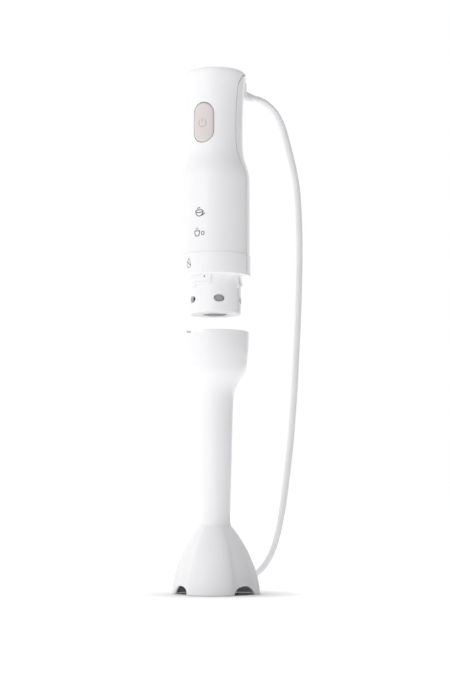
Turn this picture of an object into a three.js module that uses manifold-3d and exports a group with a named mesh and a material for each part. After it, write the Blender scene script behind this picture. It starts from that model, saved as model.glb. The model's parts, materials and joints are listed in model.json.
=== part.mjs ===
// Immersion blender in two halves: a mains motor unit held just above the blending bar that it locks onto.
// Millimetres, +Z up. The origin is on the bar's axis at the rim of its bell guard, and the motor unit's
// front, with its button, faces -Y. Angles about the axis are in degrees from -Y, turning towards +X.
import * as THREE from "three";
import { mergeVertices } from "three/addons/utils/BufferGeometryUtils.js";
import Module from "manifold-3d";

const wasm = await Module();
wasm.setup();

// Driving dimensions
const GAP = 0.3;
const WALL = 2.4;
const LIFT = 45.2; // how far the motor unit is drawn off the bar
const LOCK_TURN = 20; // turn that locks the bayonet
const RIM_Z = 212; // top of the bar's coupling cup
const SOCKET_FLOOR_Z = 180;
const NECK_Z = 55; // seam between the bar tube and the bell guard
const RING_Z = RIM_Z + LIFT + GAP; // underside of the motor unit's collar
const STUB_Z = RING_Z - 31.1; // bottom of the coupling stub
const TOP_Z = 429.2;
const SHAFT_R = 3;
const MOTOR_SHAFT_R = 2.5;
const STUB_R = 20.9;
const STUB_BORE_R = 9.75;
const SPLINE_TEETH = 360 / LOCK_TURN;
const PANEL_TURN = 20; // direction of the guard's front panel
const LOBES = 3;
const NOTCH_HEIGHT = 6.8;
const NOTCH_HALF_ANGLE = 25;
const LUG_START = -35;
const LUG_END = 18;
const BUTTON_Z = 383;
const BUTTON_HALF_WIDTH = 9;
const BUTTON_HALF_HEIGHT = 16.5;
const BUTTON_TRAVEL = 2;
const CORD_R = 2.8;
const CORD_EXIT = { y: 32, z: 420.8 };
const RELIEF_LENGTH = 36;
const RELIEF_RISE = 4; // degrees that the strain relief points above level
const COIL_CENTRE = { x: -35.6, y: 68.3 };
const COIL_TURN_RADII = [34, 28.4, 22.8];
const COIL_TOP_R = 31.2;
const PLUG_LENGTH = 36;

const rad = THREE.MathUtils.degToRad;
const point = (x, y) => new THREE.Vector2(x, y);

// A point at a radius and an angle about the axis.
function polar(radius, degrees) {
  return point(radius * Math.sin(rad(degrees)), -radius * Math.cos(rad(degrees)));
}

// A solid of revolution about Z from [radius, height] pairs, outer wall upwards.
function lathe(profile, segments = 16, startDegrees = 0) {
  const points = profile.map(([radius, height]) => point(radius, height));
  return new THREE.LatheGeometry(points, segments, rad(startDegrees)).rotateX(Math.PI / 2);
}

function rod(radius, low, high, segments = 16) {
  return lathe([[0, low], [radius, low], [radius, high], [0, high]], segments);
}

function ring(inner, outer, low, high, segments = 16) {
  return lathe([[inner, low], [outer, low], [outer, high], [inner, high], [inner, low]], segments);
}

function block(x0, x1, y0, y1, z0, z1) {
  const geometry = new THREE.BoxGeometry(x1 - x0, y1 - y0, z1 - z0);
  return geometry.translate((x0 + x1) / 2, (y0 + y1) / 2, (z0 + z1) / 2);
}

function prism(shape, low, high) {
  const settings = { depth: high - low, bevelEnabled: false, curveSegments: 8 };
  return new THREE.ExtrudeGeometry(shape, settings).translate(0, 0, low);
}

// A slice of a ring between two angles.
function sector(inner, outer, low, high, start, end, steps = 8) {
  const outline = [];
  for (let i = 0; i <= steps; i++) outline.push(polar(outer, start + ((end - start) * i) / steps));
  for (let i = steps; i >= 0; i--) outline.push(polar(inner, start + ((end - start) * i) / steps));
  return prism(new THREE.Shape(outline), low, high);
}

// An outline in Y and Z, extruded along X.
function sideways(outline, x0, x1) {
  const shape = new THREE.Shape(outline.map(([y, z]) => point(y, z)));
  const axes = [new THREE.Vector3(0, 1, 0), new THREE.Vector3(0, 0, 1), new THREE.Vector3(1, 0, 0)];
  return prism(shape, x0, x1).applyMatrix4(new THREE.Matrix4().makeBasis(...axes));
}

// An upright slot with round ends, cut along Y.
function uprightSlot(halfWidth, halfHeight, y0, y1, centreZ) {
  const shape = new THREE.Shape();
  const straight = halfHeight - halfWidth;
  shape.absarc(0, straight, halfWidth, 0, Math.PI, false);
  shape.absarc(0, -straight, halfWidth, Math.PI, 2 * Math.PI, false);
  return prism(shape, y0, y1).rotateX(Math.PI / 2).translate(0, y0 + y1, centreZ);
}

// A round tube that follows a path.
function tube(path, radius, steps, sides = 8) {
  const outline = [];
  for (let i = 0; i < sides; i++) outline.push(polar(radius, (360 * i) / sides));
  const settings = { steps, bevelEnabled: false, extrudePath: path };
  return new THREE.ExtrudeGeometry(new THREE.Shape(outline), settings);
}

function solid(geometry) {
  const bare = new THREE.BufferGeometry().setAttribute("position", geometry.getAttribute("position"));
  if (geometry.index) bare.setIndex(geometry.index);
  const merged = mergeVertices(bare, 1e-3);
  const vertProperties = merged.getAttribute("position").array;
  const triVerts = new Uint32Array(merged.index.array);
  return new wasm.Manifold(new wasm.Mesh({ numProp: 3, vertProperties, triVerts }));
}

function geometryOf(manifold) {
  const { vertProperties, triVerts } = manifold.getMesh();
  const geometry = new THREE.BufferGeometry();
  geometry.setAttribute("position", new THREE.BufferAttribute(vertProperties, 3));
  return geometry.setIndex(new THREE.BufferAttribute(triVerts, 1));
}

function join(first, ...others) {
  return geometryOf(others.reduce((whole, piece) => whole.add(solid(piece)), solid(first)));
}

function cut(first, ...tools) {
  return geometryOf(tools.reduce((whole, tool) => whole.subtract(solid(tool)), solid(first)));
}

function overlap(first, second) {
  return geometryOf(solid(first).intersect(solid(second)));
}

const finishes = {
  whitePlastic: { color: 0xf3f2f4, roughness: 0.3, metalness: 0 },
  buttonRubber: { color: 0xc9bdb8, roughness: 0.6, metalness: 0 },
  cordPlastic: { color: 0xe9e8ea, roughness: 0.45, metalness: 0 },
  darkPlastic: { color: 0x303236, roughness: 0.5, metalness: 0 },
  rubber: { color: 0x26272a, roughness: 0.8, metalness: 0 },
  steel: { color: 0xb9bcc0, roughness: 0.25, metalness: 1 },
  brass: { color: 0xb98d4f, roughness: 0.35, metalness: 1 },
  copper: { color: 0xb4693f, roughness: 0.4, metalness: 1 },
  bronze: { color: 0x9a7648, roughness: 0.5, metalness: 1 },
  board: { color: 0x2f6b43, roughness: 0.5, metalness: 0 },
  component: { color: 0xc9a63c, roughness: 0.5, metalness: 0 },
  carbon: { color: 0x1c1c1e, roughness: 0.7, metalness: 0 },
};

function part(name, geometry, finish) {
  const mesh = new THREE.Mesh(geometry, new THREE.MeshStandardMaterial(finishes[finish]));
  mesh.name = name;
  return mesh;
}

// Bell guard: a three-lobed bell with a flow notch under each groove between its lobes.
const lobeDepth = (height) => 3 * Math.pow(Math.max(0, (NECK_Z - height) / NECK_Z), 0.85);

function notchRise(degrees) {
  const spacing = 360 / LOBES;
  const nearest = ((((degrees - PANEL_TURN) % spacing) + spacing) % spacing) - spacing / 2;
  return NOTCH_HEIGHT * Math.max(0, 1 - (nearest / NOTCH_HALF_ANGLE) ** 2);
}

function bellGuard() {
  const spigotR = 9.6;
  const outer = [
    [35.5, 0], [34.5, 7], [33.2, 13.6], [31.5, 20], [29.2, 26], [26.4, 33], [23.1, 39.5],
    [19.2, 45.6], [15.2, 52], [12.9, NECK_Z - GAP],
  ];
  const hub = [
    [spigotR, NECK_Z - GAP], [spigotR, 66], [6.4, 66], [6.4, 33], [8.8, 33], [8.8, 50.6],
  ];
  const inner = [
    [13.3, 50.5], [17.2, 44.3], [21, 38.2], [24.2, 32], [27, 25.1], [29.2, 19.3], [30.9, 13.1],
    [32.1, 7.2], [33.1, 0],
  ];
  const notchSide = PANEL_TURN - 180 / LOBES;
  const bell = lathe([...outer, ...hub, ...inner, outer[0]], 48, notchSide);
  const position = bell.getAttribute("position");
  for (let i = 0; i < position.count; i++) {
    const [x, y, z] = [position.getX(i), position.getY(i), position.getZ(i)];
    const radius = Math.hypot(x, y);
    if (radius < spigotR + 1 || z > NECK_Z - 1) continue;
    const degrees = THREE.MathUtils.radToDeg(Math.atan2(x, -y));
    const height = z < 1 ? notchRise(degrees) : z;
    const lobe = lobeDepth(height) * Math.cos(rad(LOBES * (degrees - PANEL_TURN)));
    const slope = z < 1 ? -height / 7 : 0;
    const scale = (radius + lobe + slope) / radius;
    position.setXYZ(i, x * scale, y * scale, height);
  }
  return bell;
}

// Bar tube: the shaft housing with the coupling cup at its top.
function barTube() {
  const outer = [
    [12.3, NECK_Z], [12.2, 66], [13.1, 104], [13.9, 136], [14.7, 159], [18, 169], [22.1, 175],
    [25.2, 181], [26, 188.5], [26.8, 195], [27.5, 210.8], [26.9, RIM_Z],
  ];
  const cup = [
    [22.9, RIM_Z], [22.9, 201.8], [21.3, 201.2], [21.3, SOCKET_FLOOR_Z],
  ];
  const floor = [[5.6, SOCKET_FLOOR_Z], [5.6, 172], [9, 172], [9, 176.6], [17.2, 176.6], [14.6, 168]];
  const bore = [[12.2, 160.5], [11.4, 136], [10.7, 104], [9.9, 66], [9.9, NECK_Z]];
  const body = lathe([...outer, ...cup, ...floor, ...bore, outer[0]], 36);
  const ledges = [0, 120, 240].map((turn) => sector(22.2, 24, 206.7, 211, 20 + turn, 83 + turn));
  const keyway = sector(21, 29, 209.6, 213, -34, 6);
  return cut(join(body, ...ledges), keyway);
}

// Splined drive: a male dog on the bar and a female one on the motor shaft.
function splineOutline(perTooth) {
  const outline = [];
  for (let tooth = 0; tooth < SPLINE_TEETH; tooth++) {
    for (const [radius, degrees] of perTooth) {
      outline.push(polar(radius, degrees + (tooth * 360) / SPLINE_TEETH));
    }
  }
  return outline;
}

function maleCoupler() {
  const teeth = splineOutline([[5, -4.5], [6, -3], [6, 3], [5, 4.5]]);
  const bore = rod(SHAFT_R + GAP, 182, 193, 16);
  return cut(prism(new THREE.Shape(teeth), 183.2, 197), bore);
}

function femaleCoupler() {
  const sleeve = new THREE.Shape();
  sleeve.absarc(0, 0, 8.6, 0, 2 * Math.PI, false);
  sleeve.holes.push(new THREE.Path(splineOutline([[6.35, -5], [6.35, 5], [5.35, 7.2], [5.35, 12.8]])));
  const hub = lathe([
    [0, 244.4], [8.6, 244.4], [8.6, 245.6], [5.4, 247], [5.4, 251], [2.8, 251], [2.8, 246.4],
    [0, 246.4],
  ]);
  return join(prism(sleeve, STUB_Z + 4.6, 244.5), hub);
}

function driveShaft() {
  return rod(SHAFT_R, 12.5, 192.5, 16);
}

function retainingClip() {
  return sector(3.3, 5.2, 182, 182.9, 25, 335, 16);
}

function bladeHub() {
  return lathe([
    [0, 9.2], [3, 9.4], [5.1, 10.8], [5.5, 13], [5.5, 15.5], [8, 15.5], [8, 17], [6, 21],
    [3.3, 21], [3.3, 12.2], [0, 12.2],
  ]);
}

// Blade: a pressed steel sheet with two swept arms and turned-up tips.
function blade() {
  const thickness = 1.2;
  const low = 14;
  const arm = [[0, 6.6], [9, 5.6], [17, 3.2], [23, -2.6], [20, -5.2], [12, -5.4], [0, -6.6]];
  const arms = [0, 1].map((side) => {
    const shape = new THREE.Shape(arm.map(([x, y]) => point(x, y)));
    const plate = prism(shape, low, low + thickness);
    const tip = block(-1.7, 1.7, -3.2, 3.2, -0.6, 5).rotateX(rad(-28)).rotateZ(rad(-42));
    return join(plate, tip.translate(20.6, -3, low + 0.6)).rotateZ(Math.PI * side);
  });
  const centre = rod(7.6, low, low + thickness, 20);
  return cut(join(centre, ...arms), rod(5.5 + GAP, low - 1, low + 7, 20));
}

// Motor unit housing, split into a front shell that carries the top and a rear shell.
function housing() {
  const outer = [
    [0, STUB_Z], [20.1, STUB_Z], [STUB_R, STUB_Z + 0.8], [STUB_R, RING_Z], [28.8, RING_Z],
    [28.8, 274.4], [28.2, 275.2], [28.2, 338], [27.6, 343], [26.4, 348], [24.8, 353],
    [23.4, 358], [22.7, 363], [22.4, 379], [22.6, 395], [23.7, 411], [25.1, 424], [24.9, 427],
    [23, 428.8], [0, TOP_Z],
  ];
  const inner = [
    [0, STUB_Z + 2.6], [18.4, STUB_Z + 2.6], [18.4, 259.6], [25.8, 262], [25.8, 338], [24, 348],
    [21, 358], [20, 372], [20.2, 395], [22.7, 424], [22.7, 426], [0, 426],
  ];
  const boss = block(-13.5, 13.5, 8, CORD_EXIT.y, 411, 427.4);
  const bossHollow = block(-11.1, 11.1, 6, CORD_EXIT.y - WALL, 413.4, 426);
  const lugs = [0, 120, 240].flatMap((turn) => [
    sector(20.2, 21.9, 249.8, RING_Z + 0.5, LUG_START + turn, LUG_END + turn),
    sector(20.2, 22.6, 249.8, 251.8, LUG_START + turn, LUG_END + turn),
    sector(20.2, 22.6, 247.8, 251.8, LUG_START + turn, LUG_START + 13 + turn, 3),
  ]);
  const vents = [36, 108, 180, 252, 324].map((turn) =>
    uprightSlot(3, 3.01, 15, 25, 0).scale(1.48, 1, 1).translate(0, 0, STUB_Z + 11.6).rotateZ(rad(turn + 180)),
  );
  const shell = cut(join(lathe(outer, 36), boss, ...lugs), join(lathe(inner, 36), bossHollow));
  return cut(
    shell,
    rod(STUB_BORE_R, STUB_Z - 1, STUB_Z + 4, 24),
    uprightSlot(BUTTON_HALF_WIDTH + 0.35, BUTTON_HALF_HEIGHT + 0.35, -30, -10, BUTTON_Z),
    rod(4.4, -6, 6, 20).rotateX(Math.PI / 2).translate(0, CORD_EXIT.y - 1, CORD_EXIT.z),
    ...vents,
  );
}

// The parting line seen from the side: [y, z, direction towards the rear shell in y and in z].
const PARTING = [
  [0, 200, 1, 0], [0, 338, 1, 0], [-5, 364, 1, 0], [-5, 411, 1, 0], [-3.2, 419, 0.9, -0.4],
  [1.5, 424.4, 0.6, -0.8], [8, 426.2, 0, -1], [60, 426.2, 0, -1],
];

function partingAt(offset) {
  return PARTING.map(([y, z, towardsY, towardsZ]) => [y + towardsY * offset, z + towardsZ * offset]);
}

function frontShell(whole) {
  const outline = [...partingAt(-GAP / 2), [60, 440], [-60, 440], [-60, 200]];
  return overlap(whole, sideways(outline, -60, 60));
}

function rearShell(whole) {
  const outline = [...partingAt(GAP / 2).reverse(), [60, 200]];
  return overlap(whole, sideways(outline, -60, 60));
}

// Push button: a curved cap that fills its slot, with a flange that stays behind the wall.
function button() {
  const stem = uprightSlot(BUTTON_HALF_WIDTH, BUTTON_HALF_HEIGHT, -26, -15, BUTTON_Z);
  const cap = overlap(rod(23.2, 360, 406, 44), stem);
  const flange = uprightSlot(BUTTON_HALF_WIDTH + 1.6, BUTTON_HALF_HEIGHT + 1.8, -15.6, -14, BUTTON_Z);
  return join(cap, flange);
}

function switchBody() {
  const pocket = block(-2.2, 2.2, -11, -4.5, BUTTON_Z - 2.4, BUTTON_Z + 2.4);
  return cut(block(-6.5, 6.5, -9.5, 0.7, BUTTON_Z - 8, BUTTON_Z + 8), pocket);
}

function switchPlunger() {
  const tip = -14 + GAP;
  const inside = -4.5 - BUTTON_TRAVEL - 0.8;
  return block(-1.8, 1.8, tip, inside, BUTTON_Z - 2, BUTTON_Z + 2);
}

// Motor
function armatureCore() {
  const poles = [0, 72, 144, 216, 288].map((turn) =>
    join(
      block(-2.6, 2.6, 0, 14, 274, 306).rotateZ(rad(turn + 180)),
      sector(12.9, 15.8, 274, 306, turn - 28, turn + 28, 6),
    ),
  );
  return cut(join(rod(6.4, 274, 306, 20), ...poles), rod(MOTOR_SHAFT_R + GAP, 270, 310, 16));
}

function armatureWinding() {
  const turns = [36, 108, 180, 252, 324].map((turn) =>
    sector(8, 12, 270, 310, turn - 13, turn + 13, 2),
  );
  return join(ring(7.2, 12.4, 268, 273.6), ring(7.2, 12.4, 306.4, 311.6), ...turns);
}

function coolingFan() {
  const vanes = [0, 1, 2, 3, 4, 5, 6, 7, 8].map((vane) =>
    block(4, 15.5, -0.5, 0.5, 253, 258.4).rotateZ(rad(vane * 40)),
  );
  const plate = lathe([[2.8, 252], [5, 252], [15.5, 252], [15.5, 253.2], [5, 254], [5, 259], [2.8, 259], [2.8, 252]]);
  return join(plate, ...vanes);
}

function lowerCap() {
  return lathe([
    [6.3, 260.8], [8, 260.8], [8, 263], [25.4, 263], [25.4, 265.4], [4.4, 265.4], [4.4, 264.4],
    [6.3, 264.4], [6.3, 260.8],
  ], 24);
}

function upperCap() {
  return lathe([
    [4.4, 322.6], [21.2, 322.6], [21.2, 324.6], [8.2, 324.6], [8.2, 330], [6.3, 330], [6.3, 323.8],
    [4.4, 323.8], [4.4, 322.6],
  ], 24);
}

function brushHolder(side) {
  const sleeve = block(9, 18.6, -3, 3, 314, 320);
  return cut(sleeve, block(8, 20, -2.3, 2.3, 314.7, 319.3)).rotateZ(side > 0 ? 0 : Math.PI);
}

function brush(side) {
  return block(7.4, 15.5, -2, 2, 315, 319).rotateZ(side > 0 ? 0 : Math.PI);
}

function motorParts() {
  const fixed = new THREE.Group();
  fixed.add(
    part("motor_can", ring(19.8, 21.2, 266, 322, 24), "steel"),
    part("field_magnet_front", sector(16.4, 19.4, 272, 308, -62, 62, 12), "carbon"),
    part("field_magnet_rear", sector(16.4, 19.4, 272, 308, 118, 242, 12), "carbon"),
    part("motor_lower_cap", lowerCap(), "darkPlastic"),
    part("motor_upper_cap", upperCap(), "darkPlastic"),
    part("motor_lower_bearing", ring(2.8, 6, 261, 264), "bronze"),
    part("motor_upper_bearing", ring(2.8, 6, 324.2, 329.4), "bronze"),
    part("motor_damper_lower", ring(21.6, 25.3, 276, 282, 24), "rubber"),
    part("motor_damper_upper", ring(21.6, 25.3, 304, 310, 24), "rubber"),
    part("brush_holder_left", brushHolder(-1), "brass"),
    part("brush_holder_right", brushHolder(1), "brass"),
    part("carbon_brush_left", brush(-1), "carbon"),
    part("carbon_brush_right", brush(1), "carbon"),
  );
  const rotor = new THREE.Group();
  rotor.add(
    part("drive_coupler_female", femaleCoupler(), "darkPlastic"),
    part("motor_shaft", rod(MOTOR_SHAFT_R, 246.7, 333, 16), "steel"),
    part("cooling_fan", coolingFan(), "darkPlastic"),
    part("armature_core", armatureCore(), "steel"),
    part("armature_winding", armatureWinding(), "copper"),
    part("commutator", ring(2.8, 7, 313, 321), "copper"),
  );
  return [fixed, rotor];
}

// Electrics in the handle
function lead(side) {
  const path = new THREE.CatmullRomCurve3([
    new THREE.Vector3(side * 2.2, 25.8, 420.6),
    new THREE.Vector3(side * 2.6, 19, 420.2),
    new THREE.Vector3(side * 6, 12, 415),
    new THREE.Vector3(side * 8, 6, 406),
    new THREE.Vector3(side * 8, 4.2, 396),
    new THREE.Vector3(side * 8, 4.2, 386),
  ]);
  return tube(path, 1, 12, 8);
}

function cordClamp() {
  const holes = [-7, 7].map((x) => rod(1.5, 413, 418, 12).translate(x, 20.5, 0));
  return cut(block(-9.8, 9.8, 18.5, 22.5, 414, 417.2), ...holes);
}

function clampScrew(x) {
  const profile = [[0, 413.8], [1.2, 413.8], [1.2, 417.5], [2.2, 417.5], [2.2, 418.9], [0, 418.9]];
  return lathe(profile, 12).translate(x, 20.5, 0);
}

function electrics() {
  const group = new THREE.Group();
  group.add(
    part("circuit_board", block(-15, 15, 1, 2.6, 346, 403), "board"),
    part("switch_body", switchBody(), "darkPlastic"),
    part("suppression_capacitor", block(-13, -1, 2.9, 11, 350, 366), "component"),
    part("bridge_rectifier", block(3, 13, 2.9, 6.4, 352, 366), "darkPlastic"),
    part("lead_live", lead(1), "copper"),
    part("lead_neutral", lead(-1), "copper"),
    part("cord_clamp", cordClamp(), "darkPlastic"),
    part("clamp_screw_left", clampScrew(-7), "steel"),
    part("clamp_screw_right", clampScrew(7), "steel"),
  );
  return group;
}

// Cord: a strain relief, the free stretch down to the table, the coil and the plug.
function strainRelief() {
  const inside = -5.4;
  const profile = [
    [0, inside], [5.2, inside], [5.2, -2.8], [4, -2.8], [4, 1], [5, 1.2], [4.9, 5],
    [3.5, RELIEF_LENGTH - 1], [3.1, RELIEF_LENGTH], [0, RELIEF_LENGTH],
  ];
  const along = lathe(profile, 16).rotateX(rad(-90 + RELIEF_RISE));
  return along.translate(0, CORD_EXIT.y, CORD_EXIT.z);
}

// The free stretch: a bow behind the handle, then down and inwards to the coil.
const CORD_ROUTE = [
  [0, 68.33, 423.36], [0.8, 76, 424], [3, 85, 423.2], [6, 93, 419.5],
  [9, 99, 413.5], [12, 104, 403.6], [14.2, 107.2, 392], [16.2, 110.6, 379.4],
  [18, 113.8, 366.5], [19.8, 117, 348], [20.8, 118.6, 320], [20.5, 119.6, 285],
  [19.1, 120, 245], [16.9, 120.1, 205], [14.6, 120.1, 168], [11.4, 119.8, 130],
  [7, 119.1, 92], [1.8, 118.2, 58], [-4.1, 116.9, 35], [-11.4, 114.9, 20.4],
  [-20.2, 112.4, 11.2], [-28.8, 109.5, 6], [-31.6, 108.4, 4.9],
];

function cordTube() {
  const path = new THREE.CatmullRomCurve3(CORD_ROUTE.map((place) => new THREE.Vector3(...place)));
  return tube(path, CORD_R, 38, 8);
}

function cordCoil() {
  const outer = COIL_TURN_RADII[0] + CORD_R;
  const inner = COIL_TURN_RADII[2] - CORD_R;
  const top = 10.5;
  const profile = [
    [inner, 0.1], [outer, 0.1], [outer, 5.6], [COIL_TOP_R + 2.4, top], [COIL_TOP_R - 2.4, top],
    [inner, 5.6], [inner, 0.1],
  ];
  return lathe(profile, 28).translate(COIL_CENTRE.x, COIL_CENTRE.y, 0);
}

// Flat two-pin plug, lying with its pins away from the coil. Local +X runs from the cord to the pins.
function plug() {
  const group = new THREE.Group();
  const leave = 155.5; // direction in which the cord leaves the coil, from +X towards +Y
  const start = 28; // length of straight cord between the coil's top turn and the plug
  const thickness = 13.7;
  const bootLength = 10;
  const shoulder = 4;
  const axisZ = thickness / 2 + 0.1;
  const startX = COIL_CENTRE.x + COIL_TOP_R * Math.sin(rad(leave)) + start * Math.cos(rad(leave));
  const startY = COIL_CENTRE.y - COIL_TOP_R * Math.cos(rad(leave)) + start * Math.sin(rad(leave));
  const boot = lathe([[0, 0], [3.4, 0], [5, bootLength - GAP], [0, bootLength - GAP]], 16);
  const half = [
    point(bootLength, 7), point(bootLength + shoulder, 9), point(PLUG_LENGTH - 6, 17.6),
    point(PLUG_LENGTH, 17.6),
  ];
  const outline = [...half.map((p) => point(p.x, -p.y)), ...half.reverse()];
  const body = prism(new THREE.Shape(outline), -thickness / 2, thickness / 2);
  const pin = () => lathe([[0, 0], [2, 0], [2, 18], [1.2, 19], [0, 19]], 12).rotateY(Math.PI / 2);
  const tail = rod(CORD_R, 0, 2.4, 12).rotateY(Math.PI / 2);
  group.add(
    part("cord_tail", tail.translate(-2.4 - GAP, 0, 0), "cordPlastic"),
    part("plug_boot", boot.rotateY(Math.PI / 2), "cordPlastic"),
    part("plug_body", body, "cordPlastic"),
    part("plug_pin_left", pin().translate(PLUG_LENGTH + GAP, 9.3, 0), "steel"),
    part("plug_pin_right", pin().translate(PLUG_LENGTH + GAP, -9.3, 0), "steel"),
  );
  group.position.set(startX, startY, axisZ);
  group.rotation.z = rad(leave);
  return group;
}

function blendingBar() {
  const group = new THREE.Group();
  group.add(
    part("bar_tube", barTube(), "whitePlastic"),
    part("bell_guard", bellGuard(), "whitePlastic"),
    part("upper_bush", lathe([
      [3.3, 172.3], [5.3, 172.3], [5.3, 180.3], [8, 180.3], [8, 181.4], [3.3, 181.4], [3.3, 172.3],
    ]), "bronze"),
    part("middle_bush", ring(3.3, 10.3, 108, 114), "darkPlastic"),
    part("lower_bush", ring(3.3, 6.1, 40, 64), "bronze"),
    part("shaft_seal", ring(3.3, 6.1, 33.6, 39.4), "rubber"),
    part("drive_shaft", driveShaft(), "steel"),
    part("retaining_clip", retainingClip(), "steel"),
    part("drive_coupler_male", maleCoupler(), "darkPlastic"),
    part("blade_hub", bladeHub(), "darkPlastic"),
    part("blade", blade(), "steel"),
  );
  return group;
}

function motorUnit() {
  const whole = housing();
  const group = new THREE.Group();
  group.add(
    part("front_shell", frontShell(whole), "whitePlastic"),
    part("rear_shell", rearShell(whole), "whitePlastic"),
    part("button", button(), "buttonRubber"),
    part("switch_plunger", switchPlunger(), "component"),
    part("strain_relief", strainRelief(), "cordPlastic"),
    electrics(),
    ...motorParts(),
  );
  return group;
}

function mainsCord() {
  const group = new THREE.Group();
  group.add(
    part("cord_tube", cordTube(), "cordPlastic"),
    part("cord_coil", cordCoil(), "cordPlastic"),
    plug(),
  );
  return group;
}

const blender = new THREE.Group();
blender.add(blendingBar(), motorUnit(), mainsCord());

export default blender;
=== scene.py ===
import json
import math

import bpy
import bmesh
import numpy as np
from mathutils import Matrix, Vector


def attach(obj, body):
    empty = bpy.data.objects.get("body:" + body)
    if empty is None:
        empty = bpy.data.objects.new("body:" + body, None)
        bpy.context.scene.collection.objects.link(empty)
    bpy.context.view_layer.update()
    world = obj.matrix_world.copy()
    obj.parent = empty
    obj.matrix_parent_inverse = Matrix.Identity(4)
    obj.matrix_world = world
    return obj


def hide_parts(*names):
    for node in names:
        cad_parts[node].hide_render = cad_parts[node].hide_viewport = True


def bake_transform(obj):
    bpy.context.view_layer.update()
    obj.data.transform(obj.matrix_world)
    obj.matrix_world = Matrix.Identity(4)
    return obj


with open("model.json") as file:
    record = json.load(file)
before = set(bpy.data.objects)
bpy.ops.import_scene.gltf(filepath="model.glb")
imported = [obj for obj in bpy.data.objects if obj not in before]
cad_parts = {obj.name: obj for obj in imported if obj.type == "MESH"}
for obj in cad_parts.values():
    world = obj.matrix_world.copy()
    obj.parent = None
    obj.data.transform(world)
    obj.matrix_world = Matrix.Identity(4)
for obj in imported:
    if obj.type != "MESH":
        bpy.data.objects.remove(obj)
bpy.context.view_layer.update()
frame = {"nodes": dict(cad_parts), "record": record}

# An immersion blender: the motor unit held above the bar that it locks onto. Shapes are built in
# millimetres in the shared frame and scaled to metres as they are finished. Angles about the axis are in
# degrees from -Y, turning towards +X.
MM = 0.001
scene = bpy.context.scene

VIEW_ANGLE = 27.5  # direction of the camera about the axis
CAMERA_DISTANCE = 1.34
CAMERA_SIDE = 0.0078
CAMERA_HEIGHT = 0.067
CAMERA_TILT = 6.0
LENS = 87.7
SENSOR_WIDTH = 36

BODY_R = 28.2
RING_R = 28.8
STUB_R = 20.9
CUP_R = 21.3
STUB_Z = 226.4
RING_Z = 257.5
RIM_Z = 212.0
NECK_Z = 55.0
BUTTON_Z = 383.0
LUG_TURNS = (0, 120, 240)
VENT_TURNS = (36, 108, 180, 252, 324)
CORD_R = 2.8
CORD_EXIT = (0.0, 32.0, 420.8)
RELIEF_RISE = 4.0
RELIEF_LENGTH = 36.0
COIL_CENTRE = (-35.6, 68.3)
PLUG_START = Vector((-48.14, 108.30, 6.95))
PLUG_HEADING = 155.5
PANEL_TURN = 20.0


# ---------------------------------------------------------------- camera

def place_camera():
    turn = math.radians(VIEW_ANGLE)
    toward = Vector((math.sin(turn), -math.cos(turn), 0))
    right = Vector((math.cos(turn), math.sin(turn), 0))
    data = bpy.data.cameras.new("camera")
    data.lens = LENS
    data.sensor_width = SENSOR_WIDTH
    data.clip_start = 0.01
    camera = bpy.data.objects.new("camera", data)
    scene.collection.objects.link(camera)
    camera.location = toward * CAMERA_DISTANCE + right * CAMERA_SIDE + Vector((0, 0, CAMERA_HEIGHT))
    camera.rotation_euler = (math.radians(90 + CAMERA_TILT), 0, turn)
    scene.camera = camera


place_camera()


# ---------------------------------------------------------------- shape helpers

def polar(radius, degrees):
    angle = math.radians(degrees)
    return radius * math.sin(angle), -radius * math.cos(angle)


def mesh_object(name, points, faces):
    mesh = bpy.data.meshes.new(name)
    mesh.from_pydata([tuple(p) for p in points], [], faces)
    piece = bpy.data.objects.new(name, mesh)
    scene.collection.objects.link(piece)
    return piece


def through(points, per=6):
    """A smooth line through points of any dimension (Catmull-Rom), both ends included."""
    p = [np.array(q, float) for q in points]
    p = [2 * p[0] - p[1]] + p + [2 * p[-1] - p[-2]]
    line = []
    for a, b, c, d in zip(p, p[1:], p[2:], p[3:]):
        for i in range(per):
            t = i / per
            line.append(0.5 * (2 * b + (c - a) * t + (2 * a - 5 * b + 4 * c - d) * t**2
                               + (3 * b - a - 3 * c + d) * t**3))
    return [tuple(q) for q in line] + [tuple(p[-2])]


def filleted(corners, closed=True, steps=5):
    """An outline with rounded corners. A corner is (a, b) or (a, b, reach of its rounding)."""
    line = []
    count = len(corners)
    for i, corner in enumerate(corners):
        here = Vector(corner[:2])
        reach = corner[2] if len(corner) > 2 else 0
        if not reach or (not closed and i in (0, count - 1)):
            line.append(tuple(here))
            continue
        before = Vector(corners[i - 1][:2]) - here
        after = Vector(corners[(i + 1) % count][:2]) - here
        start = here + before.normalized() * min(reach, 0.48 * before.length)
        end = here + after.normalized() * min(reach, 0.48 * after.length)
        for k in range(steps + 1):
            t = k / steps
            line.append(tuple(start * (1 - t) ** 2 + here * 2 * t * (1 - t) + end * t**2))
    return line


def lathe(name, profile, segments=128, angles=None, shape=None):
    """A closed profile of (radius, height), outer wall upwards, turned about Z.

    shape(radius, angle, height) gives the place of each point where the piece isn't round.
    """
    angles = angles or [360 * i / segments for i in range(segments)]
    points, rows = [], []
    for radius, height in profile:
        pole = radius < 1e-6
        rows.append([len(points) + (0 if pole else i) for i in range(len(angles))])
        for angle in angles[:1] if pole else angles:
            r, z = shape(radius, angle, height) if shape else (radius, height)
            points.append((*polar(r, angle), z))
    faces = []
    for low, high in zip(rows, rows[1:] + rows[:1]):
        for i in range(len(angles)):
            j = (i + 1) % len(angles)
            face = list(dict.fromkeys((low[i], low[j], high[j], high[i])))
            if len(face) > 2:
                faces.append(face)
    return mesh_object(name, points, faces)


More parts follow.
